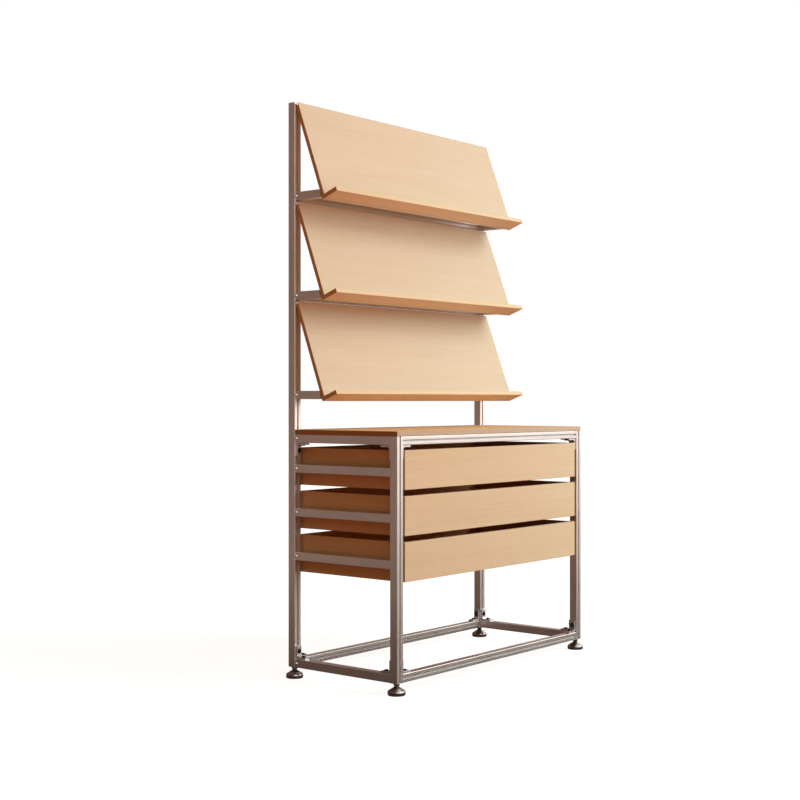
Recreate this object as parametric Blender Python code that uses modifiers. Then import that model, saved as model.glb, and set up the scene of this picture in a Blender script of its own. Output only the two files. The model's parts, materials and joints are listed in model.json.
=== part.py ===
"""Display shelf: an aluminium profile frame with sloped wooden shelves, a countertop and wooden drawers.

Metres, +Z up. The front faces -Y, and the origin is on the floor under the middle of the frame.
The two rear posts carry the sloped shelves on short arms, and the four posts carry the countertop.
Each drawer is a wooden tray whose grooved sides hang on the runner ribs of two side rails.
"""
import math

import bmesh
import bpy
from mathutils import Matrix, Vector

# Fits between pieces
SEAT_GAP = 0.0003
RUNNER_CLEARANCE = 0.0004
STEM_CLEARANCE = 0.0005

# Frame
FRAME_WIDTH = 1.018
FRAME_DEPTH = 0.442
POST_SIZE = 0.028
PROFILE = 0.026
PROFILE_CORNER = 0.0015
TUBE_WALL = 0.002
SLOT_WIDTH = 0.006
SLOT_LIP = 0.0018
SLOT_UNDERCUT = 0.011
SLOT_DEPTH = 0.0055
POST_CROWN = 0.001

# Countertop
COUNTER_TOP = 0.780
COUNTER_THICKNESS = 0.015
COUNTER_CORNER = 0.004
WOOD_EDGE = 0.001

# Corner brackets
BRACKET_LEG = 0.040
BRACKET_WIDTH = 0.020
BRACKET_THICKNESS = 0.006
BRACKET_WEB = 0.005
BRACKET_HOLE = 0.0066
BRACKET_HOLE_FROM_CORNER = 0.024

# Drawers
DRAWER_COUNT = 3
DRAWER_HEIGHT = 0.118
DRAWER_SPACING = 0.019
DRAWER_FRONT_THICKNESS = 0.015
DRAWER_WALL = 0.012
DRAWER_BOTTOM = 0.006
DRAWER_RECESS = 0.0015
DRAWER_BACK_ROOM = 0.012
BRACKET_TO_DRAWER_TOP = 0.0095
BRACKET_TO_DRAWER_SIDE = 0.0035
RUNNER_HEIGHT = 0.012
RUNNER_BITE = 0.005
RUNNER_BELOW_MIDDLE = 0.006

# Sloped shelves
SHELF_COUNT = 3
SHELF_SLOPE = math.radians(20.5)
SHELF_END_INSET = 0.004
SHELF_OVERLAP = 0.003
SHELF_ABOVE_COUNTER = 0.0886
PANEL_LENGTH = 0.317
PANEL_THICKNESS = 0.013
PANEL_LAND = 0.010
LIP_DEPTH = 0.051
LIP_THICKNESS = 0.0135
ARM_ABOVE_CORNER = 0.0065

# Levelling feet
FOOT_HEIGHT = 0.035
PAD_RADIUS = 0.027
PAD_RIM = 0.009
PAD_SHOULDER = 0.006
PAD_SHOULDER_TURN = 57
PAD_HEIGHT = 0.0255
NECK_RADIUS = 0.0065
NUT_ACROSS_FLATS = 0.017
NUT_HEIGHT = 0.007
STEM_RADIUS = 0.004
STEM_LENGTH = 0.045

# Roundness of the meshes
CORNER_STEPS = 2
HOLE_SIDES = 12
BORE_SIDES = 16
TURN_STEPS = 32
SHOULDER_STEPS = 4
CUT_MARGIN = 0.010

# Places that follow from the sizes above
HALF_WIDTH = FRAME_WIDTH / 2
HALF_DEPTH = FRAME_DEPTH / 2
INNER_WIDTH = HALF_WIDTH - POST_SIZE
INNER_DEPTH = HALF_DEPTH - POST_SIZE
POST_X = HALF_WIDTH - POST_SIZE / 2
POST_Y = HALF_DEPTH - POST_SIZE / 2
COUNTER_BOTTOM = COUNTER_TOP - COUNTER_THICKNESS
FRONT_POST_TOP = COUNTER_BOTTOM - SEAT_GAP
BOTTOM_RAIL_Z = FOOT_HEIGHT + PROFILE / 2
TOP_RAIL_Z = FRONT_POST_TOP - PROFILE / 2
ACROSS_RAIL = 2 * (INNER_WIDTH - SEAT_GAP)
ALONG_RAIL = 2 * (INNER_DEPTH - SEAT_GAP)

DRAWER_SIDE_GAP = BRACKET_THICKNESS + BRACKET_TO_DRAWER_SIDE
DRAWER_HALF_WIDTH = INNER_WIDTH - DRAWER_SIDE_GAP
DRAWER_FRONT_Y = -HALF_DEPTH + DRAWER_RECESS
TRAY_FRONT_Y = DRAWER_FRONT_Y + DRAWER_FRONT_THICKNESS + SEAT_GAP
TRAY_BACK_Y = HALF_DEPTH - DRAWER_BACK_ROOM
DRAWER_TOP_Z = TOP_RAIL_Z - PROFILE / 2 - BRACKET_THICKNESS - BRACKET_TO_DRAWER_TOP
DRAWER_PITCH = DRAWER_HEIGHT + DRAWER_SPACING
RUNNER_REACH = DRAWER_SIDE_GAP + RUNNER_BITE + (POST_SIZE - PROFILE) / 2

# Down the panel's face, and out of it along the lip, as depth and height
DOWN_PANEL = Vector((-math.sin(SHELF_SLOPE), -math.cos(SHELF_SLOPE)))
OUT_OF_PANEL = Vector((-math.cos(SHELF_SLOPE), math.sin(SHELF_SLOPE)))
PANEL_SEAT_Y = INNER_DEPTH - SEAT_GAP
PANEL_TOP_EDGE = PANEL_THICKNESS - PANEL_LAND * math.sin(SHELF_SLOPE)
PANEL_TOP_Y = PANEL_SEAT_Y - PANEL_TOP_EDGE * math.cos(SHELF_SLOPE)
SHELF_DROP = ((PANEL_LENGTH + LIP_THICKNESS) * math.cos(SHELF_SLOPE)
              + PANEL_THICKNESS * math.sin(SHELF_SLOPE))
SHELF_PITCH = SHELF_DROP - SHELF_OVERLAP
SHELF_TOP_Z = COUNTER_TOP + SHELF_ABOVE_COUNTER + SHELF_DROP + (SHELF_COUNT - 1) * SHELF_PITCH
REAR_POST_TOP = SHELF_TOP_Z + POST_CROWN
SHELF_LENGTH = FRAME_WIDTH - 2 * SHELF_END_INSET

# An outline's plane turned so that it is pushed along X, Y or Z
ALONG_X = Matrix(((0, 0, 1), (1, 0, 0), (0, 1, 0))).to_4x4()
ALONG_Y = Matrix(((1, 0, 0), (0, 0, -1), (0, 1, 0))).to_4x4()
ALONG_Z = Matrix.Identity(4)

SIDES = {"left": -1, "right": 1}
ENDS = {"front": -1, "rear": 1}


def clear_scene():
    """Removes every object that the scene starts with."""
    for item in list(bpy.data.objects):
        bpy.data.objects.remove(item, do_unlink=True)


def make_collection(name):
    """Adds a collection to the scene."""
    collection = bpy.data.collections.new(name)
    bpy.context.scene.collection.children.link(collection)
    return collection


def make_material(name, colour, roughness, metallic):
    """Makes a plain finish from a linear colour."""
    material = bpy.data.materials.new(name)
    material.use_nodes = True
    shader = material.node_tree.nodes["Principled BSDF"]
    shader.inputs["Base Color"].default_value = (*colour, 1.0)
    shader.inputs["Roughness"].default_value = roughness
    shader.inputs["Metallic"].default_value = metallic
    material.diffuse_color = (*colour, 1.0)
    return material


clear_scene()
PARTS = make_collection("display_shelf")
CUTTERS = make_collection("display_shelf_cutters")
ALUMINIUM = make_material("anodised aluminium", (0.78, 0.76, 0.74), 0.35, 1.0)
BRACKET_METAL = make_material("cast bracket metal", (0.62, 0.60, 0.58), 0.40, 1.0)
SHELF_WOOD = make_material("pale shelf wood", (0.80, 0.60, 0.40), 0.55, 0.0)
DRAWER_WOOD = make_material("drawer wood", (0.72, 0.48, 0.26), 0.55, 0.0)
COUNTER_WOOD = make_material("countertop wood", (0.74, 0.50, 0.28), 0.50, 0.0)
FOOT_METAL = make_material("plated foot metal", (0.70, 0.68, 0.66), 0.25, 1.0)


def arc(centre, radius, start, end, steps):
    """Gives the points of an arc between two angles in degrees, both ends included."""
    angles = [math.radians(start + (end - start) * i / steps) for i in range(steps + 1)]
    return [(centre[0] + radius * math.cos(a), centre[1] + radius * math.sin(a)) for a in angles]


def circle(radius, sides):
    """Gives the points of a full circle about the origin."""
    return arc((0, 0), radius, 0, 360 * (sides - 1) / sides, sides - 1)


def rounded_rectangle(width, height, radius):
    """Gives a rectangle about the origin with round corners."""
    x = width / 2 - radius
    y = height / 2 - radius
    corners = ((x, -y, -90), (x, y, 0), (-x, y, 90), (-x, -y, 180))
    points = []
    for corner_x, corner_y, start in corners:
        points += arc((corner_x, corner_y), radius, start, start + 90, CORNER_STEPS)
    return points


def slotted_section(size):
    """Gives a square profile's outline, with a T-slot in its two faces across the outline's Y."""
    half = size / 2
    steps = ((SLOT_WIDTH, 0), (SLOT_WIDTH, SLOT_LIP), (SLOT_UNDERCUT, SLOT_LIP), (SLOT_UNDERCUT, SLOT_DEPTH))
    upper_right = [(width / 2, half - depth) for width, depth in steps]
    upper_left = [(-x, y) for x, y in reversed(upper_right)]
    slot = upper_right + upper_left
    corner = half - PROFILE_CORNER
    points = arc((corner, -corner), PROFILE_CORNER, -90, 0, CORNER_STEPS)
    points += arc((corner, corner), PROFILE_CORNER, 0, 90, CORNER_STEPS)
    points += slot
    points += arc((-corner, corner), PROFILE_CORNER, 90, 180, CORNER_STEPS)
    points += arc((-corner, -corner), PROFILE_CORNER, 180, 270, CORNER_STEPS)
    points += [(-x, -y) for x, y in slot]
    return points


def add_object(name, mesh, matrix, material):
    """Adds a finished mesh to the parts and puts it in its place."""
    item = bpy.data.objects.new(name, mesh)
    PARTS.objects.link(item)
    item.matrix_world = matrix
    mesh.materials.append(material)
    return item


def prism(name, loops, length, matrix, material):
    """Pushes a flat outline, with any holes in it, along its own Z to both sides of its plane."""
    outline = bpy.data.curves.new(name + "_outline", "CURVE")
    outline.dimensions = "2D"
    outline.fill_mode = "BOTH"
    outline.extrude = length / 2
    for loop in loops:
        spline = outline.splines.new("POLY")
        spline.points.add(len(loop) - 1)
        for point, (x, y) in zip(spline.points, loop):
            point.co = (x, y, 0, 1)
        spline.use_cyclic_u = True
    flat = bpy.data.objects.new(name + "_outline", outline)
    PARTS.objects.link(flat)
    bpy.context.view_layer.update()
    mesh = bpy.data.meshes.new_from_object(flat.evaluated_get(bpy.context.evaluated_depsgraph_get()))
    bpy.data.objects.remove(flat, do_unlink=True)
    shape = bmesh.new()
    shape.from_mesh(mesh)
    bmesh.ops.remove_doubles(shape, verts=shape.verts, dist=0.00001)
    bmesh.ops.recalc_face_normals(shape, faces=shape.faces)
    shape.to_mesh(mesh)
    shape.free()
    mesh.name = name
    return add_object(name, mesh, matrix, material)


def box_mesh(name, size):
    """Makes a box about its own middle."""
    mesh = bpy.data.meshes.new(name)
    shape = bmesh.new()
    bmesh.ops.create_cube(shape, size=1.0, matrix=Matrix.Diagonal((*size, 1.0)))
    shape.to_mesh(mesh)
    shape.free()
    return mesh


def box(name, low, high, material):
    """Makes a box between two corners, with its origin in its middle."""
    low, high = Vector(low), Vector(high)
    return add_object(name, box_mesh(name, high - low), Matrix.Translation((low + high) / 2), material)


def as_cutter(item):
    """Turns an object into one that only shapes another."""
    PARTS.objects.unlink(item)
    CUTTERS.objects.link(item)
    item.hide_render = True
    item.display_type = "WIRE"
    return item


def shape_with(item, cutter, operation):
    """Cuts a cutter out of an object, or joins it on."""
    modifier = item.modifiers.new(operation.lower(), "BOOLEAN")
    modifier.operation = operation
    modifier.solver = "EXACT"
    modifier.object = cutter


def soften_edges(item, width):
    """Breaks the sharp edges of a board."""
    modifier = item.modifiers.new("broken edges", "BEVEL")
    modifier.width = width
    modifier.segments = 1
    modifier.limit_method = "ANGLE"


def at(place, turn=ALONG_Z):
    """Gives a place together with the way an outline is turned there."""
    return Matrix.Translation(place) @ turn


def slotted_bar(name, size, length, matrix):
    """Makes a length of slotted profile with its core bore."""
    bore = circle(STEM_RADIUS + STEM_CLEARANCE, BORE_SIDES)
    return prism(name, (slotted_section(size), bore), length, matrix, ALUMINIUM)


def plain_bar(name, length, matrix):
    """Makes a length of plain square tube."""
    outside = rounded_rectangle(PROFILE, PROFILE, PROFILE_CORNER)
    inside = PROFILE - 2 * TUBE_WALL
    hole = rounded_rectangle(inside, inside, PROFILE_CORNER)
    return prism(name, (outside, hole), length, matrix, ALUMINIUM)


def make_posts():
    """Makes two short front posts and two tall rear posts."""
    for end, end_sign in ENDS.items():
        top = FRONT_POST_TOP if end == "front" else REAR_POST_TOP
        for side, side_sign in SIDES.items():
            middle = (side_sign * POST_X, end_sign * POST_Y, (FOOT_HEIGHT + top) / 2)
            slotted_bar(f"post_{end}_{side}", POST_SIZE, top - FOOT_HEIGHT, at(middle))


def make_level_rails():
    """Makes the ring of rails at the foot of the posts and the ring under the countertop."""
    for level, z in (("bottom", BOTTOM_RAIL_Z), ("top", TOP_RAIL_Z)):
        for end, sign in ENDS.items():
            slotted_bar(f"{level}_rail_{end}", PROFILE, ACROSS_RAIL, at((0, sign * POST_Y, z), across_turn()))
        for side, sign in SIDES.items():
            plain_bar(f"{level}_rail_{side}", ALONG_RAIL, at((sign * POST_X, 0, z), ALONG_Y))


def across_turn():
    """Turns a profile along X with its slots in its front and rear faces."""
    return ALONG_X @ Matrix.Rotation(math.radians(90), 4, "Z")


def bracket_outline():
    """Gives an L with its legs along +X and +Y from the origin and a sloped web in its inner corner."""
    inner = BRACKET_THICKNESS
    web = BRACKET_THICKNESS + BRACKET_WEB
    outside = [(0, BRACKET_LEG), (0, 0), (BRACKET_LEG, 0)]
    return outside + [(BRACKET_LEG, inner), (web, inner), (inner, web), (inner, BRACKET_LEG)]


def make_bracket(name, corner, turn):
    """Makes one angle bracket with a bolt hole in each leg."""
    bracket = prism(name, (bracket_outline(),), BRACKET_WIDTH, at(corner, turn), BRACKET_METAL)
    hole = circle(BRACKET_HOLE / 2, HOLE_SIDES)
    middle = BRACKET_THICKNESS / 2
    spots = (((BRACKET_HOLE_FROM_CORNER, middle, 0), ALONG_Y), ((middle, BRACKET_HOLE_FROM_CORNER, 0), ALONG_X))
    for leg, (spot, way) in enumerate(spots, 1):
        place = at(corner, turn) @ at(spot, way)
        length = BRACKET_THICKNESS + 2 * CUT_MARGIN
        cutter = as_cutter(prism(f"{name}_hole_{leg}", (hole,), length, place, BRACKET_METAL))
        shape_with(bracket, cutter, "DIFFERENCE")


def make_brackets():
    """Makes two brackets in every corner of both rings: one across the frame and one along its depth."""
    rings = (("bottom", 1, BOTTOM_RAIL_Z + PROFILE / 2 + SEAT_GAP), ("top", -1, TOP_RAIL_Z - PROFILE / 2 - SEAT_GAP))
    for ring, up, z in rings:
        for end, end_sign in ENDS.items():
            for side, side_sign in SIDES.items():
                inward_x = Vector((-side_sign, 0, 0))
                inward_y = Vector((0, -end_sign, 0))
                name = f"bracket_{ring}_{end}_{side}"
                x = side_sign * (INNER_WIDTH - SEAT_GAP)
                y = end_sign * (INNER_DEPTH - SEAT_GAP)
                make_bracket(name + "_across", (x, end_sign * POST_Y, z), corner_turn(inward_x, up))
                make_bracket(name + "_along", (side_sign * POST_X, y, z), corner_turn(inward_y, up))


def corner_turn(inward, up):
    """Turns an L so that one leg points inward along a rail and the other along the post."""
    along_post = Vector((0, 0, up))
    normal = inward.cross(along_post)
    return Matrix((inward, along_post, normal)).transposed().to_4x4()


def make_countertop():
    """Makes the board on the upper ring, notched at the back around the rear posts."""
    notch = POST_SIZE + SEAT_GAP
    x, y, r = HALF_WIDTH, HALF_DEPTH, COUNTER_CORNER
    points = arc((-x + r, -y + r), r, 180, 270, CORNER_STEPS)
    points += arc((x - r, -y + r), r, 270, 360, CORNER_STEPS)
    points += [(x, y - notch), (x - notch, y - notch), (x - notch, y)]
    points += [(-x + notch, y), (-x + notch, y - notch), (-x, y - notch)]
    middle = (0, 0, (COUNTER_TOP + COUNTER_BOTTOM) / 2)
    board = prism("countertop", (points,), COUNTER_THICKNESS, at(middle), COUNTER_WOOD)
    soften_edges(board, WOOD_EDGE)


def drawer_middle_z(index):
    """Gives the height of a drawer's middle, counted from the top."""
    return DRAWER_TOP_Z - DRAWER_HEIGHT / 2 - index * DRAWER_PITCH


def make_drawer_rail(name, sign, z):
    """Makes a side rail: a square tube with a runner rib that points into the frame."""
    half = PROFILE / 2
    inside = PROFILE - 2 * TUBE_WALL
    rib = RUNNER_HEIGHT / 2
    tip = half + RUNNER_REACH
    corner = half - PROFILE_CORNER
    outline = arc((-corner, corner), PROFILE_CORNER, 90, 180, CORNER_STEPS)
    outline += arc((-corner, -corner), PROFILE_CORNER, 180, 270, CORNER_STEPS)
    outline += arc((corner, -corner), PROFILE_CORNER, 270, 360, CORNER_STEPS)
    outline += [(half, -rib), (tip, -rib), (tip, rib), (half, rib)]
    outline += arc((corner, corner), PROFILE_CORNER, 0, 90, CORNER_STEPS)
    hole = rounded_rectangle(inside, inside, PROFILE_CORNER)
    turn = ALONG_Y if sign < 0 else Matrix.Rotation(math.pi, 4, "Z") @ ALONG_Y
    prism(name, (outline, hole), ALONG_RAIL, at((sign * POST_X, 0, z), turn), ALUMINIUM)


def make_drawer(index):
    """Makes a drawer's front board and its tray, hung on an empty that slides with it."""
    number = index + 1
    z = drawer_middle_z(index)
    low, high = z - DRAWER_HEIGHT / 2, z + DRAWER_HEIGHT / 2
    x = DRAWER_HALF_WIDTH
    runner_z = z - RUNNER_BELOW_MIDDLE
    for side, sign in SIDES.items():
        make_drawer_rail(f"drawer_rail_{side}_{number}", sign, runner_z)

    front_back = DRAWER_FRONT_Y + DRAWER_FRONT_THICKNESS
    front = box(f"drawer_front_{number}", (-x, DRAWER_FRONT_Y, low), (x, front_back, high), DRAWER_WOOD)
    soften_edges(front, WOOD_EDGE)

    tray = box(f"drawer_tray_{number}", (-x, TRAY_FRONT_Y, low), (x, TRAY_BACK_Y, high), DRAWER_WOOD)
    room_low = (-x + DRAWER_WALL, TRAY_FRONT_Y - CUT_MARGIN, low + DRAWER_BOTTOM)
    room_high = (x - DRAWER_WALL, TRAY_BACK_Y - DRAWER_WALL, high + CUT_MARGIN)
    cutters = [box(f"drawer_room_{number}", room_low, room_high, DRAWER_WOOD)]
    groove_half = RUNNER_HEIGHT / 2 + RUNNER_CLEARANCE
    groove_front = -INNER_DEPTH
    groove_inner = x - RUNNER_BITE - RUNNER_CLEARANCE
    for side, sign in SIDES.items():
        ends = sorted((sign * groove_inner, sign * (x + CUT_MARGIN)))
        groove_low = (ends[0], groove_front, runner_z - groove_half)
        groove_high = (ends[1], TRAY_BACK_Y + CUT_MARGIN, runner_z + groove_half)
        cutters.append(box(f"drawer_groove_{side}_{number}", groove_low, groove_high, DRAWER_WOOD))
    for cutter in cutters:
        shape_with(tray, as_cutter(cutter), "DIFFERENCE")

    slide = bpy.data.objects.new(f"drawer_slide_{number}", None)
    PARTS.objects.link(slide)
    slide.location = (0, 0, runner_z)
    bpy.context.view_layer.update()
    for item in (front, tray, *cutters):
        item.parent = slide
        item.matrix_parent_inverse = slide.matrix_world.inverted()


def make_shelf(index):
    """Makes one sloped panel with its lip, the two arms that hold it and the bar between the rear posts."""
    number = index + 1
    top_front = Vector((PANEL_TOP_Y, SHELF_TOP_Z - index * SHELF_PITCH))
    top_back = top_front - OUT_OF_PANEL * PANEL_TOP_EDGE
    land_bottom = top_back - Vector((0, PANEL_LAND))
    low_front = top_front + DOWN_PANEL * (PANEL_LENGTH + LIP_THICKNESS)
    low_back = low_front - OUT_OF_PANEL * PANEL_THICKNESS
    panel_points = (top_front, low_front, low_back, land_bottom, top_back)
    board_along_x(f"shelf_panel_{number}", panel_points)

    inner = top_front + DOWN_PANEL * PANEL_LENGTH + OUT_OF_PANEL * SEAT_GAP
    tip = inner + OUT_OF_PANEL * (LIP_DEPTH - SEAT_GAP)
    lip_points = (inner, tip, tip + DOWN_PANEL * LIP_THICKNESS, inner + DOWN_PANEL * LIP_THICKNESS)
    board_along_x(f"shelf_lip_{number}", lip_points)

    arm_low = low_back.y + ARM_ABOVE_CORNER
    middle = arm_low + PROFILE / 2
    bar = at((0, POST_Y, middle), across_turn())
    slotted_bar(f"shelf_crossbar_{number}", PROFILE, ACROSS_RAIL, bar)
    for side, sign in SIDES.items():
        make_arm(f"shelf_arm_{side}_{number}", sign, low_back, arm_low)


def board_along_x(name, points):
    """Makes a shelf board from its end outline, given as depth and height."""
    middle = sum(points, Vector((0, 0))) / len(points)
    outline = [tuple(point - middle) for point in points]
    board = prism(name, (outline,), SHELF_LENGTH, at((0, middle.x, middle.y), ALONG_X), SHELF_WOOD)
    soften_edges(board, WOOD_EDGE)


def make_arm(name, sign, panel_corner, low):
    """Makes a tube from a rear post to a panel, its front end cut to the panel's slope."""
    def panel_back(z):
        seat = SEAT_GAP / math.cos(SHELF_SLOPE)
        return panel_corner.x + (z - panel_corner.y) * math.tan(SHELF_SLOPE) + seat

    high = low + PROFILE
    rear = INNER_DEPTH - SEAT_GAP
    middle = Vector(((panel_back(low) + rear) / 2, (low + high) / 2))
    corners = ((rear, low), (rear, high), (panel_back(high), high), (panel_back(low), low))
    outline = [tuple(Vector(corner) - middle) for corner in corners]
    place = (sign * POST_X, middle.x, middle.y)
    arm = prism(name, (outline,), PROFILE, at(place, ALONG_X), ALUMINIUM)
    inside = PROFILE / 2 - TUBE_WALL
    hollow_low = (place[0] - inside, panel_back(low) - CUT_MARGIN, middle.y - inside)
    hollow_high = (place[0] + inside, rear + CUT_MARGIN, middle.y + inside)
    shape_with(arm, as_cutter(box(name + "_hollow", hollow_low, hollow_high, ALUMINIUM)), "DIFFERENCE")


def foot_profile():
    """Gives the turned outline of a foot from the top of its stem down to the middle of its pad."""
    post_bottom = FOOT_HEIGHT - SEAT_GAP
    stem_top = post_bottom + STEM_LENGTH
    nut_middle = post_bottom - NUT_HEIGHT / 2
    points = [(0, stem_top), (STEM_RADIUS, stem_top), (STEM_RADIUS, nut_middle)]
    points += [(NECK_RADIUS, nut_middle), (NECK_RADIUS, PAD_HEIGHT)]
    shoulder = (PAD_RADIUS - PAD_SHOULDER, PAD_RIM)
    points += arc(shoulder, PAD_SHOULDER, PAD_SHOULDER_TURN, 0, SHOULDER_STEPS)
    points += [(PAD_RADIUS, 0), (0, 0)]
    return points


def make_foot(name, place):
    """Makes a levelling foot: a turned cone-topped pad and stem with a hexagon nut that seats on the post."""
    points = foot_profile()
    mesh = bpy.data.meshes.new(name)
    shape = bmesh.new()
    verts = [shape.verts.new((radius, 0, z)) for radius, z in points]
    for upper, lower in zip(verts, verts[1:]):
        shape.edges.new((upper, lower))
    shape.to_mesh(mesh)
    shape.free()
    foot = add_object(name, mesh, at(place), FOOT_METAL)
    turn = foot.modifiers.new("turned", "SCREW")
    turn.steps = TURN_STEPS
    turn.render_steps = TURN_STEPS
    turn.use_merge_vertices = True
    turn.merge_threshold = 0.00001
    turn.use_smooth_shade = True

    corner_radius = NUT_ACROSS_FLATS / math.sqrt(3)
    nut_middle = Vector(place) + Vector((0, 0, FOOT_HEIGHT - SEAT_GAP - NUT_HEIGHT / 2))
    nut = prism(name + "_nut", (circle(corner_radius, 6),), NUT_HEIGHT, at(nut_middle), FOOT_METAL)
    shape_with(foot, as_cutter(nut), "UNION")


def main():
    """Builds every piece of the display shelf."""
    make_posts()
    make_level_rails()
    make_brackets()
    make_countertop()
    for index in range(DRAWER_COUNT):
        make_drawer(index)
    for index in range(SHELF_COUNT):
        make_shelf(index)
    for end, end_sign in ENDS.items():
        for side, side_sign in SIDES.items():
            make_foot(f"foot_{end}_{side}", (side_sign * POST_X, end_sign * POST_Y, 0))


main()
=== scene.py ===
"""Looks of the display shelf: a slotted aluminium frame with sloped shelves, a countertop and three drawers.

Metres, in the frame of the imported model: +Z is up, the front faces -Y, and the origin is on the floor under
the middle of the frame. Every piece is worked out with numpy in its final place, so its object sits at the
origin.
"""

import json
import logging
import math
from dataclasses import dataclass, replace
from enum import Enum
from itertools import product
from typing import Sequence

import bpy
import numpy as np
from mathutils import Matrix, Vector

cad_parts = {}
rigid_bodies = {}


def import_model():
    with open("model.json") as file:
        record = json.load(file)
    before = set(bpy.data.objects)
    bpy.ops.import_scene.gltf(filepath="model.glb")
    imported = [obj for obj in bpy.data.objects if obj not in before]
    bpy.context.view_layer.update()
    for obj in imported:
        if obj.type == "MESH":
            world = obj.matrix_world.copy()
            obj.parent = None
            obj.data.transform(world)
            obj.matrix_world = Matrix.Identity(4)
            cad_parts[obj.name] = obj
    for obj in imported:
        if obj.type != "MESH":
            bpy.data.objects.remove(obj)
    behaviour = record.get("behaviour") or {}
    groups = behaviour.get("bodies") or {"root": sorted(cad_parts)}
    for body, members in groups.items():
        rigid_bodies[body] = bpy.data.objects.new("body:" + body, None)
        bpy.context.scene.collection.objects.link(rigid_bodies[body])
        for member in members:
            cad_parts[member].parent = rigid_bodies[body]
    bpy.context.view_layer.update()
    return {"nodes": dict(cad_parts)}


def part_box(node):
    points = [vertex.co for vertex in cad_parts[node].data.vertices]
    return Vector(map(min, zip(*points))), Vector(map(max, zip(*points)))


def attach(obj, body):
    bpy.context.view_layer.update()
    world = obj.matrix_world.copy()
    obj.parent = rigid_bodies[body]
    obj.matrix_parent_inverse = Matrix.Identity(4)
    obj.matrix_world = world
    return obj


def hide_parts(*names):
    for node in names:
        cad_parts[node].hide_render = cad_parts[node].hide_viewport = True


for startup_object in list(bpy.data.objects):
    bpy.data.objects.remove(startup_object, do_unlink=True)
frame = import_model()

logging.basicConfig(level=logging.INFO, format="%(levelname)s %(message)s")
LOG = logging.getLogger("display_shelf")

Triple = tuple[float, float, float]
Span = tuple[float, float]
Socket = bpy.types.NodeSocket
Pieces = list[bpy.types.Object]

# The numbers of the shelves and of the drawers, from the top down.
LEVELS = (1, 2, 3)
SHELF_SLOPE = math.radians(20.5)
# How far a piece is let into the one that it is joined to.
SINK = 0.0003
SMOOTH_ANGLE = math.radians(35.0)
# An outline's corners are rounder than its rims by this factor, so that the rims can be drawn in.
CORNER_OVER_RIM = 1.3
EDGE_STEPS = 4
TURN_SIDES = 48
THREAD_SIDES = 24
THREAD_ROWS = 6
UNIT: Span = (0.0, 1.0)
# Where most of a noise pattern's values lie.
NOISE_RANGE: Span = (0.30, 0.70)
# The range of a clouded metal's pattern, and the share in it of the fine lines or grain.
CLOUD_RANGE: Span = (0.55, 0.95)
CLOUD_SHARE = 0.5
# The range of a face's slant over which it starts to count as facing along an axis.
FACING_RANGE: Span = (0.55, 0.85)
# The depth of the lines and the grain in metal and rubber.
FINE_RELIEF = 0.0001
# The numbers of a Mix node's sockets for colours.
MIX_FACTOR, MIX_FIRST, MIX_SECOND, MIX_RESULT = 0, 6, 7, 2
WHITE: Triple = (1.0, 1.0, 1.0)


class Option(Enum):
    """A choice whose name is also its word in the names of the pieces."""

    @property
    def word(self) -> str:
        """The choice's word."""
        return self.name.lower()


class Axis(Option):
    """The way that a bar runs or that a board's grain follows."""

    X = 0
    Y = 1
    Z = 2

    @property
    def turn(self) -> np.ndarray:
        """The turn that carries an outline's plane and push onto this axis, as a cyclic swap of the axes."""
        return np.roll(np.eye(3), self.value + 1, axis=0)

    @property
    def plane(self) -> tuple[int, int]:
        """The numbers of the two axes that an outline across this axis lies on."""
        return (self.value + 1) % 3, (self.value + 2) % 3

    def stretched(self, scale: Span) -> Triple:
        """Gives a pattern's scale on each axis, from its scale along this axis and across it."""
        along, across = scale
        return tuple(along if axis is self else across for axis in Axis)


class Side(Option):
    """Left or right of the frame, seen from the front."""

    LEFT = -1
    RIGHT = 1


class End(Option):
    """Front or rear of the frame."""

    FRONT = -1
    REAR = 1


class Ring(Option):
    """The two rings of rails, with the way that their brackets point along the posts."""

    BOTTOM = 1
    TOP = -1


class Way(Option):
    """Whether a bracket's leg lies along a rail across the frame or along its depth."""

    ACROSS = 0
    ALONG = 1


class Fade(Enum):
    """How a value goes from one end of a range to the other."""

    EVEN = "LINEAR"
    SOFT = "SMOOTHSTEP"


class Measure(Enum):
    """What is worked out from coordinates: their distance from the middle, or how far they point one way."""

    DISTANCE = "LENGTH"
    ONE_WAY = "DOT_PRODUCT"


class Setting(Enum):
    """What a sheet of nodes is for, with its coordinates, its shader that shines and its output."""

    SURFACE = ("Object", "Emission", "OutputMaterial")
    ROOM = ("Generated", "Background", "OutputWorld")

    def __init__(self, coordinates: str, shine: str, output: str) -> None:
        """Names the three values.

        Args:
            coordinates: the coordinates that its patterns follow.
            shine: the kind of its shader that shines.
            output: the kind of its output node.
        """
        self.coordinates = coordinates
        self.shine = shine
        self.output = output


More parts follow.
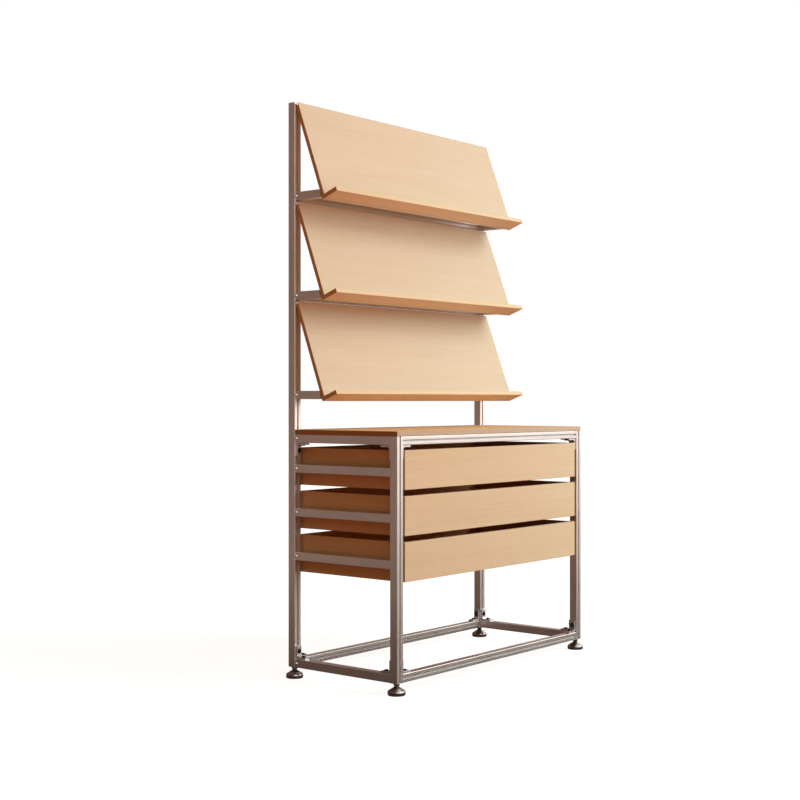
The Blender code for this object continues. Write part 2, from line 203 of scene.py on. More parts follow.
@dataclass(frozen=True)
class Outline:
    """A closed counter-clockwise outline with the outward normal and the edge wear at each point."""

    points: np.ndarray
    normals: np.ndarray
    wear: np.ndarray

    @classmethod
    def rounded(cls, corners: Sequence[Sequence[float]], radii: Sequence[float] | float) -> "Outline":
        """Rounds the corners of a polygon.

        With the outward normals a and b of the two sides at a corner, the arc's middle is the corner less
        s r (a + b) / (1 + a.b), and its points are that middle plus s r n, where n turns from a to b, r is
        the radius, and s is +1 at an outer corner and -1 at an inner one.

        Args:
            corners: the polygon's corners, counter-clockwise.
            radii: the radius at each corner, or one for all.

        Returns:
            The outline, worn at the middle of each outer arc.
        """
        corner = np.asarray(corners, float)
        ahead = np.roll(corner, -1, axis=0) - corner
        ahead /= np.linalg.norm(ahead, axis=1, keepdims=True)
        leaving = np.stack((ahead[:, 1], -ahead[:, 0]), axis=1)
        arriving = np.roll(leaving, 1, axis=0)
        level = np.sum(arriving * leaving, axis=1)
        twist = arriving[:, 0] * leaving[:, 1] - arriving[:, 1] * leaving[:, 0]
        turn = np.arctan2(twist, level)
        share = np.linspace(0.0, 1.0, EDGE_STEPS + 1)
        angle = np.arctan2(arriving[:, 1], arriving[:, 0])[:, None] + turn[:, None] * share
        normals = np.stack((np.cos(angle), np.sin(angle)), axis=-1)
        reach = np.sign(turn) * np.broadcast_to(radii, len(corner))
        pull = (arriving + leaving) / (1.0 + level)[:, None]
        points = corner[:, None] + reach[:, None, None] * (normals - pull[:, None])
        wear = (turn > 0)[:, None] * np.sin(math.pi * share)
        return cls(points.reshape(-1, 2), normals.reshape(-1, 2), wear.reshape(-1))

    @classmethod
    def rectangle(cls, low: Span, high: Span, radius: float) -> "Outline":
        """Gives a rectangle with round corners, from its lowest and its highest corner."""
        return cls.rounded((low, (high[0], low[1]), high, (low[0], high[1])), radius)

    @classmethod
    def circle(cls, radius: float, sides: int) -> "Outline":
        """Gives a circle about the origin: radius times the unit normal, whose angle starts straight down.

        Args:
            radius: the circle's radius.
            sides: the number of its points.

        Returns:
            The outline.
        """
        angle = np.linspace(-math.pi / 2, 1.5 * math.pi, sides, endpoint=False)
        normals = np.stack((np.cos(angle), np.sin(angle)), axis=1)
        return cls(radius * normals, normals, np.zeros(sides))

    def quarter_turned(self) -> "Outline":
        """Gives the outline turned by a quarter: a point (u, v) goes to (-v, u)."""
        quarter = np.array(((0.0, 1.0), (-1.0, 0.0)))
        return Outline(self.points @ quarter, self.normals @ quarter, self.wear)


@dataclass(frozen=True)
class Surface:
    """A closed surface as arrays: its points, its faces in blocks of equal size, and its edge wear."""

    points: np.ndarray
    faces: tuple[np.ndarray, ...]
    wear: np.ndarray

    @classmethod
    def joined(cls, parts: Sequence["Surface"]) -> "Surface":
        """Puts several surfaces into one, with each one's point numbers moved past those before it.

        Args:
            parts: the surfaces to put together.

        Returns:
            One surface that holds them all.
        """
        starts = np.cumsum([0] + [len(part.points) for part in parts[:-1]])
        faces = tuple(block + start for part, start in zip(parts, starts) for block in part.faces)
        points = np.concatenate([part.points for part in parts])
        return cls(points, faces, np.concatenate([part.wear for part in parts]))

    def placed(self, turn: np.ndarray, offset: Sequence[float] = (0.0, 0.0, 0.0)) -> "Surface":
        """Gives the surface turned by a matrix, then moved: each point p goes to turn p plus the offset."""
        return Surface(self.points @ turn.T + np.asarray(offset, float), self.faces, self.wear)


def capped_grid(grid: np.ndarray, wear: np.ndarray) -> Surface:
    """Closes a grid of rows that run round: quads between the rows, and a face over the first and the last.

    Args:
        grid: the points, as rows by columns by three. The rows rise, so that the quads face outwards.
        wear: the edge wear, as rows by columns.

    Returns:
        The closed surface.
    """
    here = np.arange(wear.size).reshape(wear.shape)
    beside = np.roll(here, -1, axis=1)
    quads = np.stack((here[:-1], beside[:-1], beside[1:], here[1:]), axis=-1).reshape(-1, 4)
    return Surface(grid.reshape(-1, 3), (quads, here[:1, ::-1], here[-1:]), wear.reshape(-1))


def rounded_prism(outline: Outline, low: float, high: float, edge: float) -> Surface:
    """Pushes an outline from one height to another and rounds the two rims.

    A row of a rim stands at an angle a from 0 to 90 degrees: the outline there is drawn in along its normals
    by edge (1 - sin a) and lies edge (1 - cos a) from the end.

    Args:
        outline: the outline, whose outer corners are rounder than the rims.
        low: the height of the lower end.
        high: the height of the upper end.
        edge: the radius of the rims.

    Returns:
        The closed surface, pushed along its third axis.
    """
    share = np.linspace(0.0, 1.0, EDGE_STEPS + 1)
    inset = edge * (1.0 - np.sin(share * math.pi / 2))
    rise = edge * (1.0 - np.cos(share * math.pi / 2))
    rim = np.sin(math.pi * share)
    insets = np.concatenate((inset, inset[::-1]))
    heights = np.concatenate((low + rise, (high - rise)[::-1]))
    flat = outline.points[None] - insets[:, None, None] * outline.normals[None]
    upright = np.broadcast_to(heights[:, None, None], (*flat.shape[:2], 1))
    wear = np.maximum(np.concatenate((rim, rim[::-1]))[:, None], outline.wear[None])
    wear[[0, -1]] = 0.0
    return capped_grid(np.concatenate((flat, upright), axis=2), wear)


def plank(low: Sequence[float], high: Sequence[float], grain: Axis, edge: float) -> Surface:
    """Makes a straight board between two corners, pushed along its grain, with all its edges rounded.

    Args:
        low: the lowest corner.
        high: the highest corner.
        grain: the axis that the board runs along.
        edge: the radius of its edges.

    Returns:
        The board in its place.
    """
    u, v = grain.plane
    outline = Outline.rectangle((low[u], low[v]), (high[u], high[v]), edge * CORNER_OVER_RIM)
    return rounded_prism(outline, low[grain.value], high[grain.value], edge).placed(grain.turn)


def turned(radii: np.ndarray, heights: np.ndarray, wear: np.ndarray, sides: int = TURN_SIDES) -> Surface:
    """Turns a profile about the third axis: a point is (r cos t, r sin t, h) for t round the full circle.

    Args:
        radii: the radius of each row, or of each row and column where the shape isn't round.
        heights: the height of each row, or of each row and column.
        wear: the edge wear of each row.
        sides: the number of points round a row.

    Returns:
        The closed surface. A profile runs from the bottom outwards, up and in again.
    """
    shape = (len(wear), sides)
    angle = np.linspace(0.0, 2 * math.pi, sides, endpoint=False)
    radius = np.broadcast_to(np.reshape(radii, (len(wear), -1)), shape)
    height = np.broadcast_to(np.reshape(heights, (len(wear), -1)), shape)
    grid = np.stack((radius * np.cos(angle), radius * np.sin(angle), height), axis=-1)
    return capped_grid(grid, np.broadcast_to(wear[:, None], shape))


def hexagon_radius(flats: float, sides: int) -> np.ndarray:
    """Gives a hexagon's radius: half its flats over the cosine of the angle from the nearest flat's middle.

    Args:
        flats: the width across its flats.
        sides: the number of points round the circle.

    Returns:
        The radius at each point.
    """
    angle = np.linspace(0.0, 2 * math.pi, sides, endpoint=False)
    return flats / 2 / np.cos(np.mod(angle + math.pi / 6, math.pi / 3) - math.pi / 6)


def thread(radius: float, depth: float, pitch: float, low: float, high: float) -> Surface:
    """Makes a threaded rod whose radius falls by up to the thread's depth away from a ridge.

    The ridge climbs by a pitch at each turn: the phase is height / pitch less angle / full turn, kept within
    0 to 1, and the radius is the outer one less depth times twice the phase's distance from a half.

    Args:
        radius: the outer radius.
        depth: the thread's depth.
        pitch: the climb at each turn.
        low: the height of the lower end.
        high: the height of the upper end.

    Returns:
        The closed surface.
    """
    rows = max(2, round((high - low) / pitch * THREAD_ROWS))
    heights = np.linspace(low, high, rows)
    share = np.linspace(0.0, 1.0, THREAD_SIDES, endpoint=False)
    phase = np.mod(heights[:, None] / pitch - share[None], 1.0)
    radii = radius - depth * np.abs(2.0 * phase - 1.0)
    return turned(radii, heights, np.zeros(rows), THREAD_SIDES)


class NodeSheet:
    """Lays the nodes of one material or of the world and ties them together."""

    def __init__(self, owner: bpy.types.ID, setting: Setting = Setting.SURFACE,
                 cleared: bool = False) -> None:
        """Starts the owner's nodes, with its coordinates.

        Args:
            owner: the material or the world.
            setting: what the sheet is for.
            cleared: whether the nodes that it starts with are taken away.
        """
        owner.use_nodes = True
        self.tree = owner.node_tree
        self.setting = setting
        if cleared:
            self.tree.nodes.clear()
        self.coordinates = self.add("TexCoord")

    @property
    def place(self) -> Socket:
        """The point of the surface, or the direction in the room."""
        return self.coordinates.outputs[self.setting.coordinates]

    @property
    def shader(self) -> bpy.types.Node:
        """The shader that a new material starts with."""
        return self.tree.nodes["Principled BSDF"]

    def add(self, kind: str, **settings: str) -> bpy.types.Node:
        """Adds a node.

        Args:
            kind: the node's kind, without the words that the kinds of all shader nodes start with.
            settings: the node's own settings.

        Returns:
            The node.
        """
        node = self.tree.nodes.new(f"ShaderNode{kind}")
        for name, value in settings.items():
            setattr(node, name, value)
        return node

    def join(self, source: Socket | Triple, target: Socket) -> None:
        """Ties an output to an input, or sets the input to a fixed colour.

        Args:
            source: the output, or the colour.
            target: the input.
        """
        if isinstance(source, Socket):
            self.tree.links.new(source, target)
        else:
            target.default_value = (*source, 1.0)

    def noise(self, stretch: Triple, detail: float, warp: float = 0.0) -> Socket:
        """Lays noise over the coordinates.

        Args:
            stretch: how often the pattern changes in a metre of each axis.
            detail: how many finer layers it has.
            warp: how far it is distorted.

        Returns:
            The noise from 0 to 1.
        """
        mapping = self.add("Mapping")
        mapping.inputs["Scale"].default_value = stretch
        self.join(self.place, mapping.inputs["Vector"])
        noise = self.add("TexNoise")
        noise.inputs["Scale"].default_value = 1.0
        noise.inputs["Detail"].default_value = detail
        noise.inputs["Distortion"].default_value = warp
        self.join(mapping.outputs["Vector"], noise.inputs["Vector"])
        return noise.outputs[0]

    def spread(self, source: Socket, from_range: Span, to_range: Span = UNIT,
               fade: Fade = Fade.EVEN) -> Socket:
        """Maps one range of values onto another and holds the ends.

        Args:
            source: the value to map.
            from_range: its lowest and highest value.
            to_range: what these become.
            fade: how it goes from one to the other.

        Returns:
            The mapped value.
        """
        node = self.add("MapRange", interpolation_type=fade.value)
        node.inputs["From Min"].default_value, node.inputs["From Max"].default_value = from_range
        node.inputs["To Min"].default_value, node.inputs["To Max"].default_value = to_range
        self.join(source, node.inputs["Value"])
        return node.outputs["Result"]

    def sum(self, first: Socket, second: Socket, share: float) -> Socket:
        """Adds a share of one value to another.

        Args:
            first: the value that counts by the share.
            second: the value that counts in full.
            share: what the first is multiplied by.

        Returns:
            The sum.
        """
        node = self.add("Math", operation="MULTIPLY_ADD")
        self.join(first, node.inputs[0])
        node.inputs[1].default_value = share
        self.join(second, node.inputs[2])
        return node.outputs["Value"]

    def mix(self, factor: Socket, first: Socket | Triple, second: Triple) -> Socket:
        """Goes from one colour to another.

        Args:
            factor: how far to go, from 0 to 1.
            first: the colour at 0, which may vary.
            second: the fixed colour at 1.

        Returns:
            The mixed colour.
        """
        node = self.add("Mix", data_type="RGBA")
        self.join(factor, node.inputs[MIX_FACTOR])
        self.join(first, node.inputs[MIX_FIRST])
        self.join(second, node.inputs[MIX_SECOND])
        return node.outputs[MIX_RESULT]

    def clouded(self, pattern: Socket, clouds: Socket, low: Triple, high: Triple) -> Socket:
        """Gives a metal's colour, between a low and a high one, by a fine pattern over slow clouds."""
        return self.mix(self.spread(self.sum(pattern, clouds, CLOUD_SHARE), CLOUD_RANGE), low, high)

    def facing(self, axis: Axis) -> Socket:
        """Tells from 0 to 1 how squarely the surface faces along an axis.

        Args:
            axis: the axis, to both of its sides.

        Returns:
            0 on faces beside the axis and 1 on faces across it.
        """
        split = self.add("SeparateXYZ")
        self.join(self.coordinates.outputs["Normal"], split.inputs["Vector"])
        size = self.add("Math", operation="ABSOLUTE")
        self.join(split.outputs[axis.value], size.inputs[0])
        return self.spread(size.outputs["Value"], FACING_RANGE)

    def handling(self) -> Socket:
        """Gives the piece's marks: 1 on a rubbed edge, 0 on a flat and -1 in the depth of a slot, where dusty
        tone and painted shade go.
        """
        return self.add("Attribute", attribute_name="wear").outputs["Fac"]

    def wear(self, most: float) -> Socket:
        """Gives a factor from 0 on the flats to the most on the rubbed edges."""
        return self.spread(self.handling(), UNIT, (0.0, most))

    def grime(self, most: float) -> Socket:
        """Gives a factor from 0 outside to the most in the depth of the slots, for the dusty tone and the
        painted shade there.
        """
        return self.spread(self.handling(), (0.0, -1.0), (0.0, most))

    def paint(self, colour: Socket, gloss: Socket) -> None:
        """Gives the shader its colour and its roughness."""
        self.join(colour, self.shader.inputs["Base Color"])
        self.join(gloss, self.shader.inputs["Roughness"])

    def bump(self, height: Socket, strength: float, depth: float) -> None:
        """Raises the surface by a pattern.

        Args:
            height: the pattern.
            strength: how much of it shows.
            depth: how deep it goes, in metres.
        """
        node = self.add("Bump")
        node.inputs["Strength"].default_value = strength
        node.inputs["Distance"].default_value = depth
        self.join(height, node.inputs["Height"])
        self.join(node.outputs["Normal"], self.shader.inputs["Normal"])

    def measure(self, kind: Measure, way: Triple = (0.0, 0.0, 0.0)) -> Socket:
        """Works out a number from the coordinates.

        Args:
            kind: what is worked out.
            way: the way that they are measured along, where there is one.

        Returns:
            The number.
        """
        node = self.add("VectorMath", operation=kind.value)
        self.join(self.place, node.inputs[0])
        node.inputs[1].default_value = way
        return node.outputs["Value"]

    def glow(self, colour: Socket | Triple, strength: float = 1.0) -> Socket:
        """Lays a shader that shines.

        Args:
            colour: its colour.
            strength: its strength.

        Returns:
            The shader.
        """
        node = self.add(self.setting.shine)
        self.join(colour, node.inputs["Color"])
        node.inputs["Strength"].default_value = strength
        return node.outputs[0]

    def end_by_ray(self, light: Socket, mirror: Socket, eye: Socket) -> None:
        """Ends the sheet with one shader for soft light, one for mirrors, and one for the eye or glass.

        Args:
            light: the shader that lights other surfaces.
            mirror: the shader that is mirrored.
            eye: the shader that is seen.
        """
        path = self.add("LightPath")
        either = self.add("Math", operation="MAXIMUM")
        self.join(path.outputs["Is Camera Ray"], either.inputs[0])
        self.join(path.outputs["Is Transmission Ray"], either.inputs[1])
        shown = light
        for ray, shader in ((path.outputs["Is Glossy Ray"], mirror), (either.outputs["Value"], eye)):
            choice = self.add("MixShader")
            self.join(ray, choice.inputs["Fac"])
            self.join(shown, choice.inputs[1])
            self.join(shader, choice.inputs[2])
            shown = choice.outputs["Shader"]
        self.join(shown, self.add(self.setting.output).inputs["Surface"])


@dataclass(frozen=True)
class Finish:
    """What every finish has: its name, and the name of a material slot in the record, which nothing here
    reads.
    """

    name: str
    slot: str

    def material(self) -> bpy.types.Material:
        """Gives the finish's material, made when it is first asked for.

        Returns:
            The material.
        """
        found = bpy.data.materials.get(self.name)
        if found is None:
            found = bpy.data.materials.new(self.name)
            self.lay(NodeSheet(found))
        return found

    def lay(self, sheet: NodeSheet) -> None:
        """Lays the finish's own nodes."""
        raise NotImplementedError


@dataclass(frozen=True)
class WoodFinish(Finish):
    """Lacquered wood: fine fibres, a slow figure, short pores, end faces darkened as end grain and as painted
    shade and, on some, edge faces tinted as painted light.

    A scale is how often a pattern changes in a metre, first along the grain and then across it.
    """

    grain: Axis
    pale: Triple
    deep: Triple
    pore: Triple
    # End faces take this darker colour: end grain, deepened as painted shade.
    end_grain: Triple = (0.44, 0.23, 0.085)
    roughness: float = 0.50
    shine: float = 0.3
    # Faces across the given axis take this tint as painted light.
    band: tuple[Axis, Triple] | None = None
    fibre_scale: Span = (3.0, 330.0)
    figure_scale: Span = (0.9, 17.0)
    figure_warp: float = 0.7
    figure_share: float = 0.7
    tone_range: Span = (0.50, 1.20)
    pore_scale: Span = (34.0, 1050.0)
    pore_range: Span = (0.60, 0.74)
    pore_most: float = 0.30
    pore_relief: float = -0.6
    ring_scale: Span = (6.0, 420.0)
    ring_range: Span = (0.55, 0.80)
    ring_most: float = 0.20
    rubbed_most: float = 0.30
    smoothest: float = 0.05
    roughest: float = 0.09
    relief: float = 0.16
    relief_depth: float = 0.0004

    def lay(self, sheet: NodeSheet) -> None:
        """Lays the grain's colours, its gloss and its relief.

        Args:
            sheet: the sheet to lay the nodes on.
        """
        fibre = sheet.noise(self.grain.stretched(self.fibre_scale), detail=4.0)
        figure = sheet.noise(self.grain.stretched(self.figure_scale), detail=2.0, warp=self.figure_warp)
        pores = sheet.noise(self.grain.stretched(self.pore_scale), detail=1.0)
        rings = sheet.noise(self.grain.stretched(self.ring_scale), detail=3.0)
        tone = sheet.spread(sheet.sum(figure, fibre, self.figure_share), self.tone_range)
        colour = sheet.mix(tone, self.pale, self.deep)
        colour = sheet.mix(sheet.spread(pores, self.pore_range, (0.0, self.pore_most)), colour, self.pore)
        colour = sheet.mix(sheet.wear(self.rubbed_most), colour, self.pore)
        # Painted shade with the end grain: the end faces darken.
        colour = sheet.mix(sheet.facing(self.grain), colour, self.end_grain)
        colour = sheet.mix(sheet.spread(rings, self.ring_range, (0.0, self.ring_most)), colour, self.pore)
        # Painted light: the faces across the given axis take their own tint.
        if self.band:
            across, tint = self.band
            colour = sheet.mix(sheet.facing(across), colour, tint)
        gloss = (self.roughness - self.smoothest, self.roughness + self.roughest)
        sheet.paint(colour, sheet.spread(fibre, NOISE_RANGE, gloss))
        sheet.bump(sheet.sum(pores, fibre, self.pore_relief), self.relief, self.relief_depth)
        sheet.shader.inputs["Specular IOR Level"].default_value = self.shine


@dataclass(frozen=True)
class AluminiumFinish(Finish):
    """Satin anodised aluminium with the draw lines of its extrusion along the bar."""

    run: Axis
    low: Triple = (0.74, 0.72, 0.70)
    high: Triple = (0.84, 0.82, 0.80)
    worn: Triple = (0.92, 0.91, 0.90)
    # The slots' darker colour is dusty tone and painted shade in their depth; the metal is lowered there too,
    # so that they show it lit.
    dust: Triple = (0.64, 0.60, 0.565)
    rubbed_most: float = 0.6
    dust_most: float = 0.8
    dusty_metal: float = 0.2
    gloss: Span = (0.29, 0.41)
    line_scale: Span = (0.8, 850.0)
    cloud_scale: float = 7.0
    relief: float = 0.06

    def lay(self, sheet: NodeSheet) -> None:
        """Lays the draw lines, the slow change of tone, the rubbed edges, and the darker, duller slots:
        dusty, and painted shade in their depth.

        Args:
            sheet: the sheet to lay the nodes on.
        """
        lines = sheet.noise(self.run.stretched(self.line_scale), detail=3.0)
        clouds = sheet.noise((self.cloud_scale,) * 3, detail=2.0)
        colour = sheet.clouded(lines, clouds, self.low, self.high)
        colour = sheet.mix(sheet.wear(self.rubbed_most), colour, self.worn)
        # Painted shade with dusty tone: the slots darken.
        colour = sheet.mix(sheet.grime(self.dust_most), colour, self.dust)
        sheet.paint(colour, sheet.spread(lines, NOISE_RANGE, self.gloss))
        sheet.bump(lines, self.relief, FINE_RELIEF)
        # Less metal in the slots, so that their painted shade shows under the light instead of mirroring the
        # dim room.
        metallic_by_slot = sheet.spread(sheet.handling(), (-1.0, 0.0), (self.dusty_metal, 1.0))
        sheet.join(metallic_by_slot, sheet.shader.inputs["Metallic"])


@dataclass(frozen=True)
class GrainyFinish(Finish):
    """A metal or rubber with a fine even grain, clouded tone and rubbed edges."""

    low: Triple
    high: Triple
    worn: Triple
    rubbed_most: float
    metallic: float
    gloss: Span
    grain: float
    relief: float
    cloud_scale: float = 90.0

    def lay(self, sheet: NodeSheet) -> None:
        """Lays the grain, the clouds and the rubbed edges.

        Args:
            sheet: the sheet to lay the nodes on.
        """
        grain = sheet.noise((self.grain,) * 3, detail=2.0)
        clouds = sheet.noise((self.cloud_scale,) * 3, detail=3.0)
        colour = sheet.clouded(grain, clouds, self.low, self.high)
        colour = sheet.mix(sheet.wear(self.rubbed_most), colour, self.worn)
        sheet.paint(colour, sheet.spread(clouds, NOISE_RANGE, self.gloss))
        sheet.bump(grain, self.relief, FINE_RELIEF)
        sheet.shader.inputs["Metallic"].default_value = self.metallic


ALUMINIUM = {
    axis: AluminiumFinish(f"anodised_aluminium_along_{axis.word}", "aluminium", axis)
    for axis in Axis
}
BRACKET_METAL = GrainyFinish(
    "satin_bracket_metal", "bracket_metal", low=(0.68, 0.67, 0.66), high=(0.76, 0.75, 0.74),
    worn=(0.86, 0.85, 0.84), rubbed_most=0.6, metallic=1.0, gloss=(0.30, 0.42), grain=1300.0, relief=0.10)
BLACK_BOLT = GrainyFinish(
    "blackened_bolt", "bracket_metal", low=(0.014, 0.013, 0.012), high=(0.030, 0.028, 0.027),
    worn=(0.16, 0.155, 0.15), rubbed_most=0.35, metallic=0.7, gloss=(0.36, 0.52), grain=2200.0, relief=0.12)
BRIGHT_ZINC = GrainyFinish(
    "bright_zinc", "bracket_metal", low=(0.86, 0.86, 0.86), high=(0.93, 0.93, 0.93),
    worn=(0.97, 0.97, 0.97), rubbed_most=0.5, metallic=1.0, gloss=(0.18, 0.28), grain=1800.0, relief=0.04)
DARK_STEEL = GrainyFinish(
    "dark_plated_steel", "foot_metal", low=(0.30, 0.27, 0.255), high=(0.40, 0.37, 0.35),
    worn=(0.70, 0.68, 0.66), rubbed_most=0.4, metallic=1.0, gloss=(0.12, 0.22), grain=1500.0, relief=0.04)
RUBBER = GrainyFinish(
    "dark_foot_rubber", "foot_metal", low=(0.014, 0.013, 0.013), high=(0.030, 0.029, 0.028),
    worn=(0.06, 0.058, 0.056), rubbed_most=0.5, metallic=0.0, gloss=(0.62, 0.78), grain=2600.0, relief=0.30)
SHELF_WOOD = WoodFinish(
    "pale_shelf_wood", "shelf_wood", Axis.X, pale=(0.779, 0.61, 0.433), deep=(0.727, 0.548, 0.368),
    pore=(0.56, 0.34, 0.18))
# Painted light: the lips take a brighter, warmer copy of the shelf wood, to make up for the shade on them.
LIP_WOOD_PAINTED_LIGHT = WoodFinish(
    "warm_lip_wood", "shelf_wood", Axis.X, pale=(0.87, 0.645, 0.413), deep=(0.81, 0.58, 0.351),
    pore=(0.56, 0.34, 0.18))
# Painted light: the counter's front and rear edges take a paler tint than its top, whose colour is raised for
# the light that grazes it; its end faces darken as end grain and painted shade.
COUNTER_WOOD = WoodFinish(
    "countertop_wood", "counter_wood", Axis.X, pale=(0.94, 0.585, 0.315), deep=(0.87, 0.505, 0.25),
    pore=(0.54, 0.28, 0.11), end_grain=(0.28, 0.137, 0.053), roughness=0.48, shine=0.2,
    band=(Axis.Y, (0.637, 0.471, 0.33)))
DRAWER_WOOD = WoodFinish(
    "drawer_front_wood", "drawer_wood", Axis.X, pale=(0.855, 0.633, 0.412), deep=(0.783, 0.561, 0.342),
    pore=(0.54, 0.33, 0.17))
# Painted shade: the drawer sides take a wood much darker than the fronts, for the shade that they stand in.
TRAY_SIDE_WOOD_PAINTED_SHADE = WoodFinish(
    "drawer_side_wood", "drawer_wood", Axis.Y, pale=(0.554, 0.312, 0.147), deep=(0.457, 0.239, 0.098),
    pore=(0.30, 0.13, 0.045), end_grain=(0.36, 0.17, 0.06), roughness=0.56, shine=0.25)
# Painted shade: the drawers' back and bottom take a deep red wood, so that the shaded gaps between the
# drawers render maroon.
TRAY_INNER_WOOD_PAINTED_SHADE = WoodFinish(
    "drawer_inner_wood", "drawer_wood", Axis.X, pale=(0.80, 0.40, 0.17), deep=(0.72, 0.335, 0.125),
    pore=(0.40, 0.13, 0.04), end_grain=(0.42, 0.17, 0.06), roughness=0.56, shine=0.25)


def linked(name: str, data: bpy.types.ID) -> bpy.types.Object:
    """Puts a mesh, a lamp or a camera into the scene as an object.

    Args:
        name: the object's name.
        data: the mesh, lamp or camera.

    Returns:
        The object, at the origin.
    """
    made = bpy.data.objects.new(name, data)
    bpy.context.scene.collection.objects.link(made)
    return made


def add_piece(name: str, surface: Surface, finish: Finish, body: str,
              nodes: Sequence[str] = ()) -> bpy.types.Object:
    """Puts a surface into the scene with its finish, on the body that it moves with.

    Args:
        name: the piece's name.
        surface: the surface, in its place.
        finish: the finish that it wears.
        body: the body that it rides on.
        nodes: the CAD nodes that it stands for.

    Returns:
        The finished piece.
    """
    mesh = bpy.data.meshes.new(name)
    faces = [face for block in surface.faces for face in block.tolist()]
    mesh.from_pydata(surface.points.tolist(), [], faces)
    mesh.attributes.new("wear", "FLOAT", "POINT").data.foreach_set("value", surface.wear.astype(np.float32))
    mesh.materials.append(finish.material())
    mesh.shade_smooth()
    mesh.set_sharp_from_angle(angle=SMOOTH_ANGLE)
    piece = linked(name, mesh)
    flats = piece.modifiers.new("flat faces stay flat", "WEIGHTED_NORMAL")
    flats.keep_sharp = True
    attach(piece, body)
    if nodes:
        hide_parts(*nodes)
    return piece


@dataclass
class ProfileFrame:
    """The posts, rails, crossbars and arms, cut from slotted bar and plain square tube."""

    size: float = 0.026
    corner: float = 0.0015
    wall: float = 0.002
    slot_width: float = 0.006
    slot_lip: float = 0.0018
    slot_undercut: float = 0.011
    slot_depth: float = 0.0055
    slot_edge: float = 0.0003
    bore: float = 0.0045
    bore_sides: int = 32
    runner_height: float = 0.012
    runner_edge: float = 0.0008

    def slotted_section(self, size: float) -> Outline:
        """Gives a slotted bar's section.

        One half runs from the floor of the lower slot round the right side to the floor of the upper slot,
        and the other half is the same with both signs changed. The middle of each slot's floor is a point of
        its own.

        Args:
            size: the bar's width and height.

        Returns:
            The outline, with the lower floor's middle first and the upper floor's middle half-way round.
        """
        half = size / 2
        lip, floor = half - self.slot_lip, half - self.slot_depth
        narrow, wide = self.slot_width / 2, self.slot_undercut / 2
        lower = ((wide, -floor), (wide, -lip), (narrow, -lip), (narrow, -half), (half, -half))
        right = lower + tuple((x, -y) for x, y in reversed(lower))
        edge = self.slot_edge
        lower_radii = (edge,) * 4 + (self.corner,)
        radii = np.tile(lower_radii + lower_radii[::-1], 2)
        section = Outline.rounded(right + tuple((-x, -y) for x, y in right), radii)
        spots = (0, len(section.points) // 2)
        floors = np.array(((0.0, -floor), (0.0, floor)))
        points = np.insert(section.points, spots, floors, axis=0)
        normals = np.insert(section.normals, spots, np.sign(floors), axis=0)
        wear = np.insert(section.wear, spots, 0.0)
        # Points in the slots take -1, where the aluminium paints dusty tone and shade.
        sideways, upright = np.abs(points).T
        in_slot = (sideways < wide + edge) & (upright < lip + edge)
        return Outline(points, normals, np.where(in_slot, -1.0, wear))

    def square(self, inset: float) -> Outline:
        """Gives a square with round corners about the origin, that far inside the tube's own square."""
        half = self.size / 2 - inset
        return Outline.rectangle((-half, -half), (half, half), self.corner)

    @staticmethod
    def hollow(outer: Outline, bore: Outline, ends: Span, lean: float = 0.0) -> Surface:
        """Carries an outline and its bore from one end to the other.

        The first end leans: its height is the lower end plus lean times the point's first coordinate, less
        the outline's lowest one. Where both loops have as many points, the end faces are quads from loop to
        loop, and otherwise each end is two halves that meet at the first and the middle point of both loops.

        Args:
            outer: the outer outline.
            bore: the outline of the bore.
            ends: the heights of the two ends.
            lean: the rise of the first end across the bar.

        Returns:
            The closed surface.
        """
        loops = np.concatenate((outer.points, bore.points))
        start = ends[0] + lean * (loops[:, :1] - outer.points[:, 0].min())
        stop = np.full_like(start, ends[1])
        points = np.concatenate((np.hstack((loops, start)), np.hstack((loops, stop))))
        count, total = len(outer.points), len(loops)
        outside, inside = np.arange(count), np.arange(count, total)
        next_out, next_in = np.roll(outside, -1), np.roll(inside, -1)
        walls = np.stack((outside, next_out, next_out + total, outside + total), axis=1)
        bore_walls = np.stack((next_in, inside, inside + total, next_in + total), axis=1)
        if len(inside) == count:
            near = np.stack((outside, inside, next_in, next_out), axis=1)
        else:
            half, bore_half = count // 2, len(inside) // 2
            round_out, round_in = np.append(outside, 0), np.append(inside, count)
            right = np.concatenate((round_out[:half + 1], round_in[:bore_half + 1][::-1]))
            left = np.concatenate((round_out[half:], round_in[bore_half:][::-1]))
            near = np.stack((right[::-1], left[::-1]))
        faces = (walls, bore_walls, near, near[:, ::-1] + total)
        return Surface(points, faces, np.tile(np.concatenate((outer.wear, bore.wear)), 2))

    def bar(self, node: str, run: Axis) -> Surface:
        """Makes the slotted bar of a node, with its slots in its front and rear faces.

        Args:
            node: the CAD node that it stands for.
            run: the axis that it runs along.

        Returns:
            The bar in its place.
        """
        low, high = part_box(node)
        across = run.plane[0]
        section = self.slotted_section(high[across] - low[across])
        bore = Outline.circle(self.bore, self.bore_sides)
        if run is Axis.X:
            section, bore = section.quarter_turned(), bore.quarter_turned()
        middle = (low + high) / 2
        middle[run.value] = 0.0
        return self.hollow(section, bore, (low[run.value], high[run.value])).placed(run.turn, middle)

    def tube(self, node: str, lean: float = 0.0) -> Surface:
        """Makes the plain tube of a node that runs from front to rear.

        Args:
            node: the CAD node that it stands for.
            lean: how its front end leans back as it rises.

        Returns:
            The tube in its place, on the frame's outer side of the node's box.
        """
        low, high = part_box(node)
        half = self.size / 2
        x = low.x + half if low.x + high.x < 0 else high.x - half
        tube = self.hollow(self.square(0.0), self.square(self.wall), (low.y, high.y), lean)
        return tube.placed(Axis.Y.turn, (x, 0.0, (low.z + high.z) / 2))

